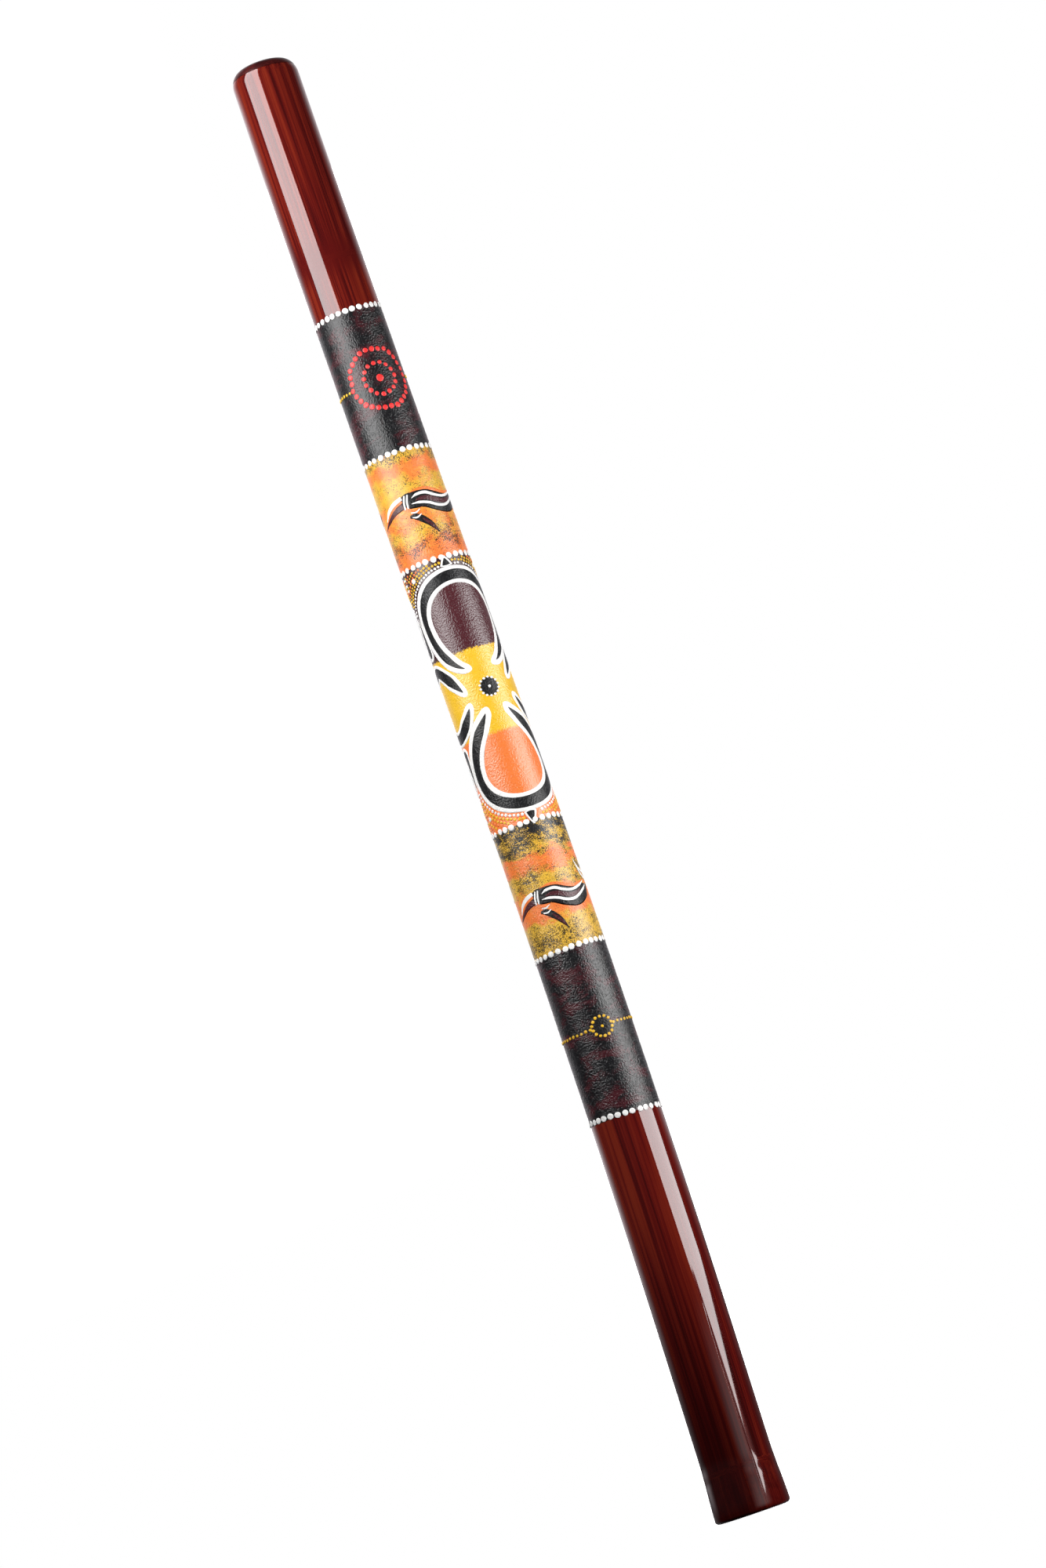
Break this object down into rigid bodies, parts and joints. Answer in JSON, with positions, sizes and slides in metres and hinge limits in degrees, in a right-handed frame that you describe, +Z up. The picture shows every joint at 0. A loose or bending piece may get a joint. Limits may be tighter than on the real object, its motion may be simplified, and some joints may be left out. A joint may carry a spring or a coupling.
{
  "type": "didgeridoo",
  "caption": "Straight-standing bamboo wind instrument: a slightly bowed, gently tapered open tube with a rounded mouth ring, a small bell swelling and raised painted bands.",
  "frame": {"origin": "centre of the bell end's bottom face, which is the bottom centre of the box within 3 mm because the tube is bowed", "axes": "+Z up the tube from the bell to the mouth, +X the side that the tube bows towards, -Y the side that carries the main painted design"},
  "size_m": [0.0657, 0.0606, 1.2],
  "materials": {
    "bamboo_lacquer": "red-brown stained bamboo under glossy clear lacquer",
    "mouth_ring_lacquer": "dark stained end-grain wood, smooth lacquer",
    "dark_paint": "black acrylic with maroon blotches, leathery, semi-gloss",
    "ochre_paint": "sponged yellow and orange acrylic, black stipple",
    "ground_paint": "yellow acrylic ground, leathery, semi-gloss",
    "white_paint": "thick white acrylic dots",
    "yellow_paint": "thick yellow acrylic dots"
  },
  "bodies": {
    "root": {"bamboo_culm": "bamboo_lacquer", "mouth_ring": "mouth_ring_lacquer", "upper_dark_paint": "dark_paint", "lower_dark_paint": "dark_paint", "upper_ochre_paint": "ochre_paint", "lower_ochre_paint": "ochre_paint", "middle_ground_paint": "ground_paint", "white_dot_ring_1": "white_paint", "white_dot_ring_2": "white_paint", "white_dot_ring_3": "white_paint", "white_dot_ring_4": "white_paint", "white_dot_ring_5": "white_paint", "white_dot_ring_6": "white_paint", "yellow_dot_line_upper": "yellow_paint", "yellow_dot_line_lower": "yellow_paint"}
  },
  "joints": []
}
